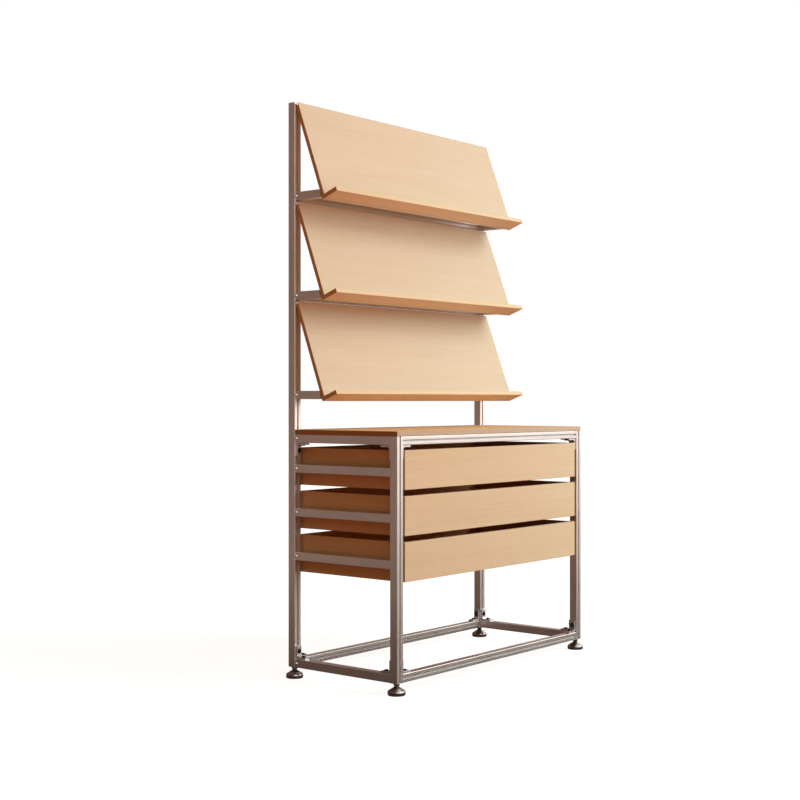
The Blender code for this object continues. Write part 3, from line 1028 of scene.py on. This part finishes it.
    def runner(self, node: str) -> Surface:
        """Makes the rib on a drawer rail that the drawer's groove slides on.

        Args:
            node: the CAD node of the rail.

        Returns:
            The rib, let a little into the tube.
        """
        low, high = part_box(node)
        z = (low.z + high.z) / 2
        if low.x + high.x < 0:
            reach = (low.x + self.size - SINK, high.x)
        else:
            reach = (low.x, high.x - self.size + SINK)
        near = (reach[0], low.y, z - self.runner_height / 2)
        far = (reach[1], high.y, z + self.runner_height / 2)
        return plank(near, far, Axis.Y, self.runner_edge)

    def build(self) -> Pieces:
        """Builds every bar and tube of the frame.

        Returns:
            The finished pieces.
        """
        pieces = []
        for node in sorted(frame["nodes"]):
            kind, run = "tube", Axis.Y
            if node.startswith("post_"):
                kind, run = "bar", Axis.Z
                surface = self.bar(node, run)
            elif node.startswith("shelf_crossbar_") or node.endswith(("_rail_front", "_rail_rear")):
                kind, run = "bar", Axis.X
                surface = self.bar(node, run)
            elif node.startswith("drawer_rail_"):
                surface = Surface.joined((self.tube(node), self.runner(node)))
            elif node.startswith("shelf_arm_"):
                surface = self.tube(node, math.tan(SHELF_SLOPE))
            elif node.endswith(("_rail_left", "_rail_right")):
                surface = self.tube(node)
            else:
                continue
            pieces.append(add_piece(f"{node}_{kind}", surface, ALUMINIUM[run], "frame", (node,)))
        return pieces


@dataclass(frozen=True)
class SocketScrew:
    """A flanged round-headed screw with a hexagon socket, seen from its seat upwards."""

    flange_radius: float
    flange_height: float
    head_radius: float
    head_height: float
    crown_radius: float
    socket_flats: float
    socket_depth: float
    soft: float = 0.0003
    sides: int = 24
    dome_steps: int = 5

    def surface(self) -> Surface:
        """Makes the head about the third axis, on a seat at height 0.

        The dome runs over a quarter turn a from the flange to the crown: its radius is the crown's plus
        (head - crown) cos a, and its height is the flange's plus (head height - flange height) sin a. The
        socket's rows take a hexagon's radius.

        Returns:
            The closed surface.
        """
        angle = np.linspace(0.0, math.pi / 2, self.dome_steps)
        dome_radii = self.crown_radius + (self.head_radius - self.crown_radius) * np.cos(angle)
        dome_heights = self.flange_height + (self.head_height - self.flange_height) * np.sin(angle)
        flange = (self.flange_radius, self.flange_radius, self.flange_radius - self.soft)
        round_rows = np.concatenate((flange, dome_radii))
        socket = hexagon_radius(self.socket_flats, self.sides)
        radii = np.concatenate((np.tile(round_rows[:, None], self.sides), socket[None], socket[None]))
        rim = (0.0, self.flange_height - self.soft, self.flange_height)
        floor = self.head_height - self.socket_depth
        heights = np.concatenate((rim, dome_heights, (self.head_height, floor)))
        wear = np.zeros(len(heights))
        wear[[1, len(round_rows) - 1]] = 1.0
        return turned(radii, heights, wear, self.sides)


@dataclass
class CornerBrackets:
    """The solid angles in the corners of both rings, with their black bolts."""

    leg: float = 0.040
    width: float = 0.020
    thickness: float = 0.006
    web: float = 0.005
    hole_from_corner: float = 0.024
    inner_round: float = 0.0025
    edge: float = 0.0007
    bolt: SocketScrew = SocketScrew(flange_radius=0.0077, flange_height=0.0011, head_radius=0.0063,
                                    head_height=0.0046, crown_radius=0.0034, socket_flats=0.005,
                                    socket_depth=0.0018)
    low_head: float = 0.0031

    def angle(self) -> Surface:
        """Makes one angle with its legs along the first two axes and its width along the third.

        Returns:
            The angle, pushed from an outline of two legs and the sloped web in their inner corner.
        """
        leg, inner, web = self.leg, self.thickness, self.thickness + self.web
        corners = ((0, leg), (0, 0), (leg, 0), (leg, inner), (web, inner), (inner, web), (inner, leg))
        tip = self.edge * CORNER_OVER_RIM
        radii = (tip, tip, tip, tip, self.inner_round, self.inner_round, tip)
        return rounded_prism(Outline.rounded(corners, radii), -self.width / 2, self.width / 2, self.edge)

    @staticmethod
    def corner(node: str, ring: Ring, end: End, side: Side, way: Way) -> tuple[np.ndarray, np.ndarray]:
        """Finds where a bracket's corner is and how it is turned.

        Args:
            node: the CAD node of the bracket.
            ring: the ring that it belongs to.
            end: the end of the frame.
            side: the side of the frame.
            way: the way of its leg on the rail.

        Returns:
            The corner, and the turn whose columns are the ways of the rail leg, the post leg and the width.
        """
        low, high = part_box(node)
        place = (low + high) / 2
        place.z = low.z if ring is Ring.BOTTOM else high.z
        inward = Vector((0.0, 0.0, 0.0))
        if way is Way.ACROSS:
            place.x = low.x if side is Side.LEFT else high.x
            inward.x = -side.value
        else:
            place.y = low.y if end is End.FRONT else high.y
            inward.y = -end.value
        upward = Vector((0.0, 0.0, ring.value))
        turn = np.array((inward, upward, inward.cross(upward))).T
        return np.array(place), turn

    def build(self) -> Pieces:
        """Builds the angles, and the bolts of each ring as one piece.

        Returns:
            The finished pieces.
        """
        pieces = []
        angle = self.angle()
        on_rail = np.array((self.hole_from_corner, self.thickness, 0.0))
        on_post = on_rail[[1, 0, 2]]
        for ring in Ring:
            height = self.low_head if ring is Ring.TOP else self.bolt.head_height
            bolt = replace(self.bolt, head_height=height).surface()
            bolts = []
            for end, side, way in product(End, Side, Way):
                node = f"bracket_{ring.word}_{end.word}_{side.word}_{way.word}"
                place, turn = self.corner(node, ring, end, side, way)
                bracket = angle.placed(turn, place)
                pieces.append(add_piece(f"{node}_angle", bracket, BRACKET_METAL, "frame", (node,)))
                bolts.append(bolt.placed(np.roll(turn, 1, axis=1), place + turn @ on_rail))
                bolts.append(bolt.placed(np.roll(turn, -1, axis=1), place + turn @ on_post))
            name = f"bracket_bolts_{ring.word}"
            pieces.append(add_piece(name, Surface.joined(bolts), BLACK_BOLT, "frame"))
        return pieces


@dataclass
class RailScrews:
    """The bright screws that hold the side rails, the shelf arms and the panels' tops to the rear posts."""

    screw: SocketScrew = SocketScrew(flange_radius=0.0046, flange_height=0.0008, head_radius=0.0043,
                                     head_height=0.0043, crown_radius=0.0017, socket_flats=0.0020,
                                     socket_depth=0.0014, soft=0.0002)
    from_end: float = 0.0050
    below_panel_top: float = 0.0070

    def spot(self, node: str, side: Side) -> Triple:
        """Finds the screw's seat near the rear end of a rail's outer face, or at the top of a panel's end.

        Args:
            node: the CAD node of the rail or the panel.
            side: the side of the frame.

        Returns:
            The middle of the seat.
        """
        low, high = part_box(node)
        x = low.x if side is Side.LEFT else high.x
        z = high.z - self.below_panel_top if node.startswith("shelf_panel") else (low.z + high.z) / 2
        return x, high.y - self.from_end, z

    def build(self) -> Pieces:
        """Builds the screws of each side as one piece.

        Returns:
            The finished pieces.
        """
        head = self.screw.surface()
        pieces = []
        for side in Side:
            kinds = (f"drawer_rail_{side.word}", f"shelf_arm_{side.word}", "shelf_panel")
            nodes = [f"{kind}_{level}" for kind, level in product(kinds, LEVELS)]
            nodes += [f"{ring.word}_rail_{side.word}" for ring in Ring]
            spin = np.array(((0.0, 0.0, side.value), (side.value, 0.0, 0.0), (0.0, 1.0, 0.0)))
            screws = [head.placed(spin, self.spot(node, side)) for node in nodes]
            name = f"rail_screws_{side.word}"
            pieces.append(add_piece(name, Surface.joined(screws), BRIGHT_ZINC, "frame"))
        return pieces


@dataclass
class Countertop:
    """The board on the upper ring, notched at the back round the rear posts."""

    notch: float = 0.0283
    corner: float = 0.004
    edge: float = 0.0012

    def build(self) -> Pieces:
        """Builds the board.

        Returns:
            The finished piece, in a list.
        """
        low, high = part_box("countertop")
        x, y = high.x, high.y
        in_x, in_y = x - self.notch, y - self.notch
        front = ((-x, low.y), (x, low.y))
        back = ((x, in_y), (in_x, in_y), (in_x, y), (-in_x, y), (-in_x, in_y), (-x, in_y))
        small = self.edge * CORNER_OVER_RIM
        outline = Outline.rounded(front + back, (self.corner,) * len(front) + (small,) * len(back))
        board = rounded_prism(outline, low.z, high.z, self.edge)
        return [add_piece("countertop_board", board, COUNTER_WOOD, "frame", ("countertop",))]


@dataclass
class SlopedShelves:
    """The three sloped panels, each with the lip that stands out of its lower edge."""

    half_length: float = 0.505
    panel_length: float = 0.317
    panel_thickness: float = 0.013
    panel_land: float = 0.010
    panel_seat: float = 0.1927
    lip_depth: float = 0.051
    lip_thickness: float = 0.0135
    seat_gap: float = 0.0003
    edge: float = 0.0010
    top_height: float = 1.80497
    overlap: float = 0.003

    def outlines(self, index: int) -> tuple[np.ndarray, np.ndarray]:
        """Works out the end outlines of a panel and its lip.

        Down the panel is the way (-sin s, -cos s) and out of it (-cos s, sin s), as depth and height for a
        slope s. The panel's back is cut upright where it lies on the rear posts.

        Args:
            index: how many shelves are above it.

        Returns:
            The corners of the panel and of the lip, counter-clockwise.
        """
        sine, cosine = math.sin(SHELF_SLOPE), math.cos(SHELF_SLOPE)
        down, out = np.array((-sine, -cosine)), np.array((-cosine, sine))
        drop = (self.panel_length + self.lip_thickness) * cosine + self.panel_thickness * sine
        top_edge = self.panel_thickness - self.panel_land * sine
        height = self.top_height - index * (drop - self.overlap)
        top = np.array((self.panel_seat - top_edge * cosine, height))
        back = top - out * top_edge
        low = top + down * (self.panel_length + self.lip_thickness)
        panel = np.array((top, low, low - out * self.panel_thickness, back - (0.0, self.panel_land), back))
        inner = top + down * self.panel_length + out * self.seat_gap
        tip = inner + out * (self.lip_depth - self.seat_gap)
        thick = down * self.lip_thickness
        return panel, np.array((inner, tip, tip + thick, inner + thick))

    def board(self, corners: np.ndarray) -> Surface:
        """Pushes a board's end outline along the shelf's length."""
        outline = Outline.rounded(corners, self.edge * CORNER_OVER_RIM)
        return rounded_prism(outline, -self.half_length, self.half_length, self.edge).placed(Axis.X.turn)

    def build(self) -> Pieces:
        """Builds the panels and their lips.

        Returns:
            The finished pieces.
        """
        pieces = []
        for index, level in enumerate(LEVELS):
            for kind, wood, corners in zip(("panel", "lip"), (SHELF_WOOD, LIP_WOOD_PAINTED_LIGHT), self.outlines(index)):
                node = f"shelf_{kind}_{level}"
                pieces.append(add_piece(f"{node}_board", self.board(corners), wood, "frame", (node,)))
        return pieces


@dataclass
class Drawers:
    """The three drawers: a front board, two grooved sides, a back and a bottom."""

    wall: float = 0.012
    bottom: float = 0.006
    groove_half: float = 0.0064
    groove_depth: float = 0.0054
    groove_below_middle: float = 0.006
    edge: float = 0.0010
    groove_edge: float = 0.0004

    def side_board(self, low: Vector, high: Vector, side: Side) -> Surface:
        """Makes a side board with the groove that slides on the runner.

        The outline lies on height and width: a rectangle whose outer edge steps in at the groove. On the
        right side its widths change sign and its order turns round.

        Args:
            low: the lowest corner of the tray.
            high: the highest corner of the tray.
            side: the side of the drawer.

        Returns:
            The board, pushed from front to rear.
        """
        outer, inner, floor = low.x, low.x + self.wall, low.x + self.groove_depth
        middle = (low.z + high.z) / 2 - self.groove_below_middle
        groove_low, groove_high = middle - self.groove_half, middle + self.groove_half
        corners = np.array(((low.z, outer), (groove_low, outer), (groove_low, floor), (groove_high, floor),
                            (groove_high, outer), (high.z, outer), (high.z, inner), (low.z, inner)))
        rim, groove = self.edge * CORNER_OVER_RIM, self.groove_edge * CORNER_OVER_RIM
        radii = np.array((rim, rim, groove, groove, rim, rim, rim, rim))
        if side is Side.RIGHT:
            corners = (corners * (1.0, -1.0))[::-1]
            radii = radii[::-1]
        outline = Outline.rounded(corners, radii)
        return rounded_prism(outline, low.y, high.y, self.edge).placed(Axis.Y.turn)

    def tray(self, low: Vector, high: Vector) -> dict[str, tuple[Surface, Finish]]:
        """Makes the boards behind a drawer's front.

        Args:
            low: the lowest corner of the tray.
            high: the highest corner of the tray.

        Returns:
            Each board and its finish, under its word.
        """
        boards = {f"side_{side.word}": (self.side_board(low, high, side), TRAY_SIDE_WOOD_PAINTED_SHADE) for side in Side}
        room_low, room_high, back_y = low.x + self.wall, high.x - self.wall, high.y - self.wall
        back = plank((room_low, back_y, low.z), (room_high, high.y, high.z), Axis.X, self.edge)
        floor = plank((room_low, low.y, low.z), (room_high, back_y, low.z + self.bottom), Axis.X, self.edge)
        return boards | {"back": (back, TRAY_INNER_WOOD_PAINTED_SHADE), "bottom": (floor, TRAY_INNER_WOOD_PAINTED_SHADE)}

    def build(self) -> Pieces:
        """Builds the boards of every drawer.

        Returns:
            The finished pieces.
        """
        pieces = []
        for level in LEVELS:
            body, front, tray = f"drawer_{level}", f"drawer_front_{level}", f"drawer_tray_{level}"
            board = plank(*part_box(front), Axis.X, self.edge)
            pieces.append(add_piece(f"{front}_board", board, DRAWER_WOOD, body, (front,)))
            for word, (surface, wood) in self.tray(*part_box(tray)).items():
                pieces.append(add_piece(f"{tray}_{word}", surface, wood, body, (tray,)))
        return pieces


@dataclass
class LevellingFeet:
    """The four feet: a cone-topped pad on a rubber sole, a hexagon nut under the post and a thread."""

    pad_radius: float = 0.027
    pad_rim: float = 0.009
    shoulder: float = 0.006
    shoulder_turn: float = math.radians(57.0)
    shoulder_steps: int = 10
    cone_steps: int = 6
    pad_height: float = 0.0255
    neck_radius: float = 0.0065
    rubber_height: float = 0.003
    rubber_inset: float = 0.0008
    rim_round: float = 0.0008
    nut_flats: float = 0.017
    nut_face_share: float = 0.95
    nut_slant: float = math.pi / 6
    nut_low: float = 0.0277
    nut_high: float = 0.0347
    stem_radius: float = 0.004
    stem_top: float = 0.0797
    stem_pitch: float = 0.00125
    thread_depth: float = 0.0006

    def pad(self) -> Surface:
        """Makes the metal pad: an upright wall, a round shoulder, a cone and a short neck.

        The shoulder's angle a rises from 0: its radius is the pad's less s (1 - cos a) and its height is the
        wall's plus s sin a for a shoulder radius s. The cone runs straight from there to the neck.

        Returns:
            The closed surface about the third axis.
        """
        soft = self.rim_round
        angle = np.linspace(0.0, self.shoulder_turn, self.shoulder_steps)
        round_radii = self.pad_radius - self.shoulder * (1.0 - np.cos(angle))
        round_heights = self.pad_rim + self.shoulder * np.sin(angle)
        cone_radii = np.linspace(round_radii[-1], self.neck_radius, self.cone_steps)[1:]
        cone_heights = np.linspace(round_heights[-1], self.pad_height, self.cone_steps)[1:]
        wall_radii = (self.pad_radius - soft, self.pad_radius)
        wall_heights = (self.rubber_height, self.rubber_height + soft)
        radii = np.concatenate((wall_radii, round_radii, cone_radii, (self.neck_radius,)))
        heights = np.concatenate((wall_heights, round_heights, cone_heights, (self.nut_low + SINK,)))
        wear = np.zeros(len(radii))
        wear[1] = 1.0
        return turned(radii, heights, wear)

    def rubber(self) -> Surface:
        """Makes the rubber sole under the pad, with a broken lower edge.

        Returns:
            The closed surface about the third axis.
        """
        outer = self.pad_radius - self.rubber_inset
        radii = np.array((outer - self.rim_round, outer, outer))
        heights = np.array((0.0, self.rim_round, self.rubber_height))
        return turned(radii, heights, np.array((0.0, 1.0, 0.0)))

    def nut(self) -> Surface:
        """Makes the hexagon nut with its corners turned off at both ends.

        At an end the face is a circle a little inside the flats, and each point of the hexagon lies back
        from it by its distance beyond that circle times the tangent of the slant.

        Returns:
            The closed surface about the third axis.
        """
        hexagon = hexagon_radius(self.nut_flats, TURN_SIDES)
        face = np.full(TURN_SIDES, self.nut_flats / 2 * self.nut_face_share)
        back = (hexagon - face) * math.tan(self.nut_slant)
        radii = np.stack((face, hexagon, hexagon, face))
        low, high = np.full(TURN_SIDES, self.nut_low), np.full(TURN_SIDES, self.nut_high)
        heights = np.stack((low, low + back, high - back, high))
        return turned(radii, heights, np.array((0.0, 1.0, 1.0, 0.0)))

    def build(self) -> Pieces:
        """Builds the pieces of all four feet.

        Returns:
            The finished pieces.
        """
        stem_low = self.nut_high - SINK
        stem = thread(self.stem_radius, self.thread_depth, self.stem_pitch, stem_low, self.stem_top)
        kinds = (("pad", self.pad(), DARK_STEEL), ("rubber", self.rubber(), RUBBER),
                 ("nut", self.nut(), DARK_STEEL), ("thread", stem, DARK_STEEL))
        pieces = []
        for end, side in product(End, Side):
            node = f"foot_{end.word}_{side.word}"
            low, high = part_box(node)
            place = ((low.x + high.x) / 2, (low.y + high.y) / 2, low.z)
            for kind, surface, finish in kinds:
                piece = surface.placed(np.eye(3), place)
                pieces.append(add_piece(f"{node}_{kind}", piece, finish, f"levelling_{node}", (node,)))
        return pieces


@dataclass
class Studio:
    """The plain pale floor, the soft light and the camera at the photograph's angle."""

    camera_place: Triple = (-3.683103, -2.813784, 0.872473)
    camera_yaw: float = math.radians(50.869)
    lens: float = 62.672
    sensor: float = 36.0
    floor_half: float = 30.0
    floor_change: Span = (0.5, 3.0)
    near_light: Triple = (0.21, 0.08, 0.04)
    far_light: Triple = (0.64, 0.20, 0.09)
    near_mirror: Triple = (0.07, 0.045, 0.035)
    far_mirror: Triple = (0.27, 0.185, 0.15)
    floor_shade: Triple = (0.35, 0.35, 0.35)
    floor_glow: float = 0.88
    light_way: Triple = (0.50, -0.85, 0.17)
    light_turn: Span = (-0.55, 0.55)
    dim_light: Triple = (0.18, 0.175, 0.12)
    bright_light: Triple = (0.65, 0.46, 0.32)
    mirror_turn: Span = (-0.10, 0.60)
    dim_mirror: Triple = (0.225, 0.14, 0.113)
    bright_mirror: Triple = (2.10, 1.93, 1.82)
    sun_way: Triple = (0.42, -0.73, 0.54)
    sun_spread: float = math.radians(30.0)
    sun_strength: float = 1.25
    sun_colour: Triple = (0.75, 0.94, 1.0)
    side_place: Triple = (1.6, -1.9, 1.45)
    side_aim: Triple = (0.0, 0.0, 1.1)
    side_size: float = 1.2
    side_strength: float = 29.4
    side_colour: Triple = (0.51, 0.87, 1.0)

    def room(self, sheet: NodeSheet, turn: Span, dim: Triple, bright: Triple) -> Socket:
        """Gives the room's light by direction, as a shader.

        Args:
            sheet: the world's sheet.
            turn: where the light changes, as the cosine of the angle from the bright side.
            dim: the light on the dim side.
            bright: the light on the bright side.

        Returns:
            The shader.
        """
        along = sheet.measure(Measure.ONE_WAY, self.light_way)
        return sheet.glow(sheet.mix(sheet.spread(along, turn, fade=Fade.SOFT), dim, bright))

    def build_world(self) -> None:
        """Makes the world: white to the eye and through glass, a half-lit room in metal, soft light else."""
        world = bpy.data.worlds.new("studio")
        bpy.context.scene.world = world
        sheet = NodeSheet(world, Setting.ROOM, cleared=True)
        light = self.room(sheet, self.light_turn, self.dim_light, self.bright_light)
        mirror = self.room(sheet, self.mirror_turn, self.dim_mirror, self.bright_mirror)
        sheet.end_by_ray(light, mirror, sheet.glow(WHITE))

    def floor_material(self) -> bpy.types.Material:
        """Makes the floor's material: warm to the light, dim in metal, white to the eye but for the shadow.

        The colours for the light and for metal change from under the shelf outwards.

        Returns:
            The material.
        """
        material = bpy.data.materials.new("pale_floor")
        sheet = NodeSheet(material, cleared=True)
        outward = sheet.spread(sheet.measure(Measure.DISTANCE), self.floor_change, fade=Fade.SOFT)
        bounce = sheet.glow(sheet.mix(outward, self.near_light, self.far_light))
        mirror = sheet.glow(sheet.mix(outward, self.near_mirror, self.far_mirror))
        shade = sheet.add("BsdfDiffuse")
        sheet.join(self.floor_shade, shade.inputs["Color"])
        both = sheet.add("AddShader")
        sheet.join(shade.outputs["BSDF"], both.inputs[0])
        sheet.join(sheet.glow(WHITE, self.floor_glow), both.inputs[1])
        sheet.end_by_ray(bounce, mirror, both.outputs["Shader"])
        return material

    def build_floor(self) -> None:
        """Makes the floor as one flat square."""
        half = self.floor_half
        mesh = bpy.data.meshes.new("floor")
        corners = ((-half, -half, 0.0), (half, -half, 0.0), (half, half, 0.0), (-half, half, 0.0))
        mesh.from_pydata(corners, [], [(0, 1, 2, 3)])
        mesh.materials.append(self.floor_material())
        linked("floor", mesh)

    @staticmethod
    def hang(lamp: bpy.types.Light, strength: float, colour: Triple, way: Vector) -> bpy.types.Object:
        """Hangs a lamp.

        Args:
            lamp: the lamp.
            strength: how strongly it shines.
            colour: the colour of its light.
            way: the way that its light comes from.

        Returns:
            The lamp's object, at the origin.
        """
        lamp.energy = strength
        lamp.color = colour
        holder = linked(lamp.name, lamp)
        holder.rotation_euler = way.to_track_quat("Z", "Y").to_euler()
        return holder

    def build_lamps(self) -> None:
        """Hangs a far soft lamp that lights the floor evenly, and a near one that fades towards the left."""
        sun = bpy.data.lights.new("soft_lamp", "SUN")
        sun.angle = self.sun_spread
        self.hang(sun, self.sun_strength, self.sun_colour, Vector(self.sun_way))
        lamp = bpy.data.lights.new("side_lamp", "AREA")
        lamp.size = self.side_size
        way = Vector(self.side_place) - Vector(self.side_aim)
        holder = self.hang(lamp, self.side_strength, self.side_colour, way)
        holder.location = self.side_place
        holder.visible_camera = False
        holder.visible_glossy = False

    def build_camera(self) -> None:
        """Stands the camera level where the photograph was taken from."""
        view = bpy.data.cameras.new("camera")
        view.lens = self.lens
        view.sensor_width = self.sensor
        camera = linked("camera", view)
        camera.location = self.camera_place
        camera.rotation_euler = (math.pi / 2, 0.0, -self.camera_yaw)
        bpy.context.scene.camera = camera

    def build(self) -> None:
        """Builds the whole studio and sets the plain view transform."""
        self.build_world()
        self.build_floor()
        self.build_lamps()
        self.build_camera()
        bpy.context.scene.view_settings.view_transform = "Standard"


def main() -> None:
    """Builds the studio and every sub-assembly in order, and reports each piece."""
    Studio().build()
    for assembly in (ProfileFrame(), CornerBrackets(), RailScrews(), Countertop(), SlopedShelves(),
                     Drawers(), LevellingFeet()):
        for piece in assembly.build():
            LOG.info("%s: %s, %d faces", type(assembly).__name__, piece.name, len(piece.data.polygons))


if __name__ == "__main__":
    main()
